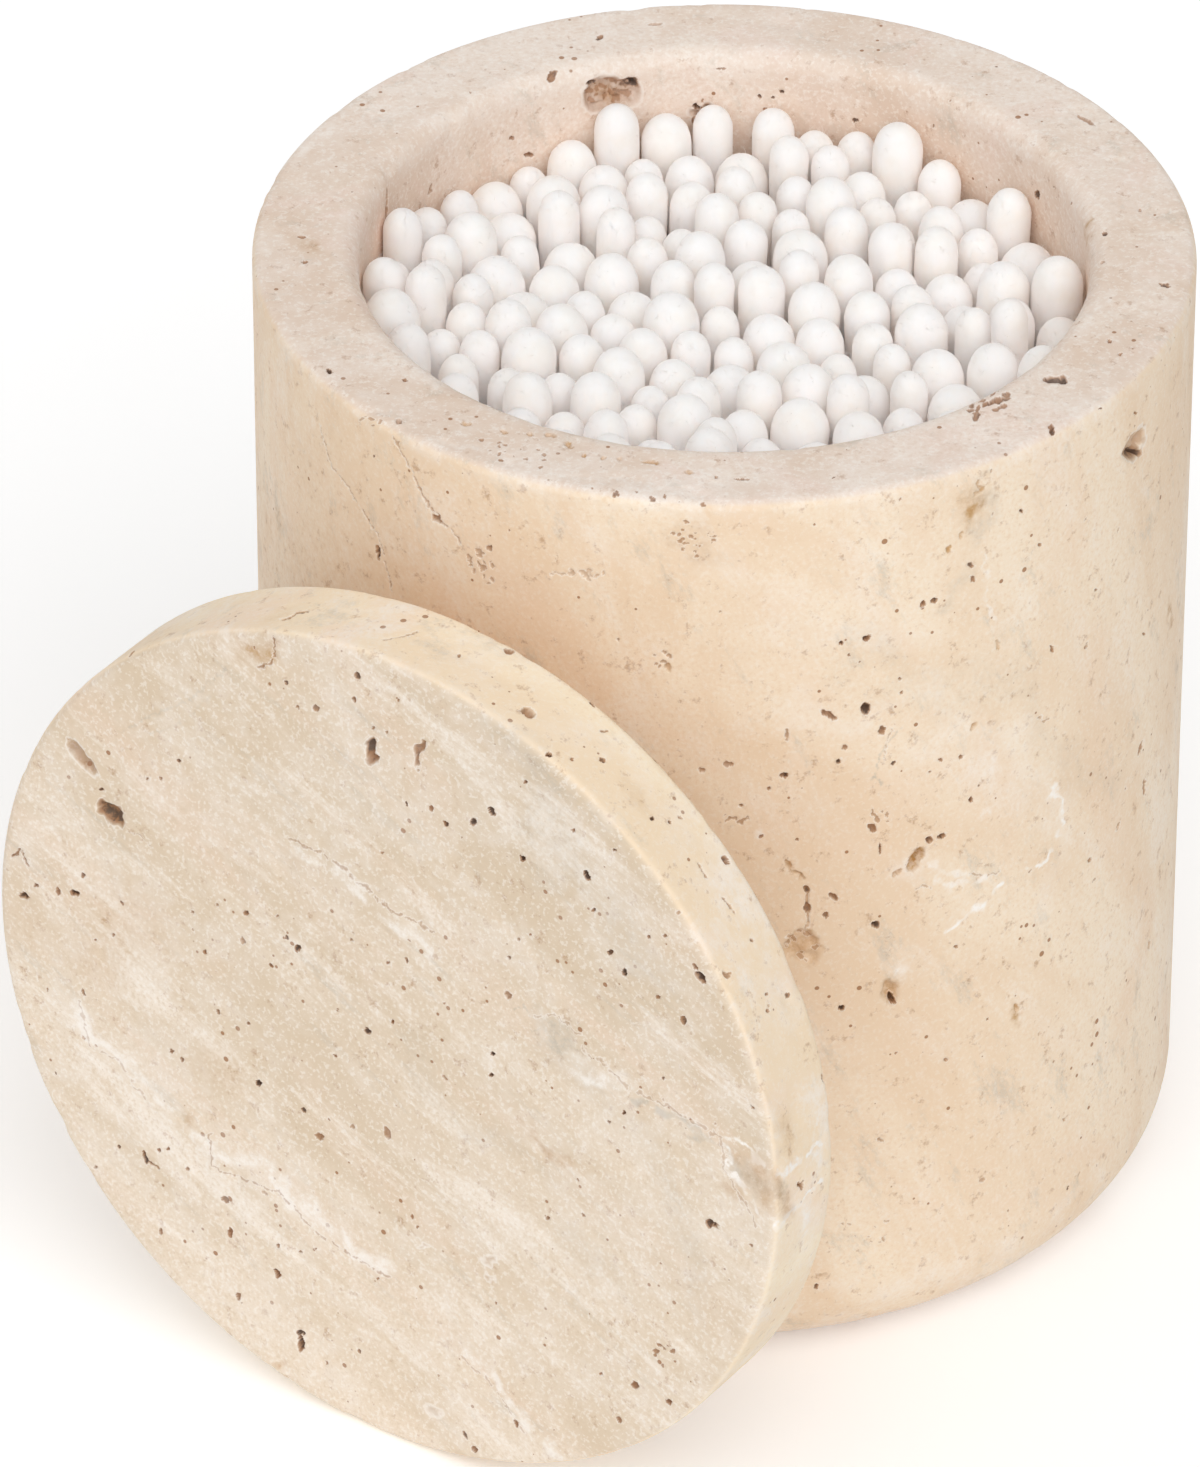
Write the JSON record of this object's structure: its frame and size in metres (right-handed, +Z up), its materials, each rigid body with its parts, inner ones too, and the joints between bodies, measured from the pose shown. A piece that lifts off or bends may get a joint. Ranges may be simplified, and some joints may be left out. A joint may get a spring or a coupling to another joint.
{
  "type": "cotton swab holder",
  "caption": "Round travertine jar with a plugged lid leaning on its side, filled with upright double-ended cotton swabs.",
  "frame": {"origin": "centre of the flat underside of the jar, on the surface that it stands on", "axes": "+Z up along the jar's bore; +Y away from the viewer of the picture; +X to the viewer's right; the lid leans at the front left, towards -X and -Y"},
  "size_m": [0.1015, 0.1094, 0.0902],
  "materials": {
    "jar_stone": "honed travertine, matt",
    "lid_stone": "honed travertine, matt",
    "cotton": "wound cotton wool, soft matt",
    "paper": "rolled white paper, matt"
  },
  "bodies": {
    "root": {"jar": "jar_stone", "lid": "lid_stone", "paper_sticks_ring_1": "paper", "paper_sticks_ring_2": "paper", "paper_sticks_ring_3": "paper", "paper_sticks_ring_4": "paper", "paper_sticks_ring_5": "paper", "paper_sticks_ring_6": "paper", "paper_sticks_ring_7": "paper", "upper_cotton_ring_1": "cotton", "upper_cotton_ring_2": "cotton", "upper_cotton_ring_3": "cotton", "upper_cotton_ring_4": "cotton", "upper_cotton_ring_5": "cotton", "upper_cotton_ring_6": "cotton", "upper_cotton_ring_7": "cotton", "lower_cotton_ring_1": "cotton", "lower_cotton_ring_2": "cotton", "lower_cotton_ring_3": "cotton", "lower_cotton_ring_4": "cotton", "lower_cotton_ring_5": "cotton", "lower_cotton_ring_6": "cotton", "lower_cotton_ring_7": "cotton"}
  },
  "joints": []
}
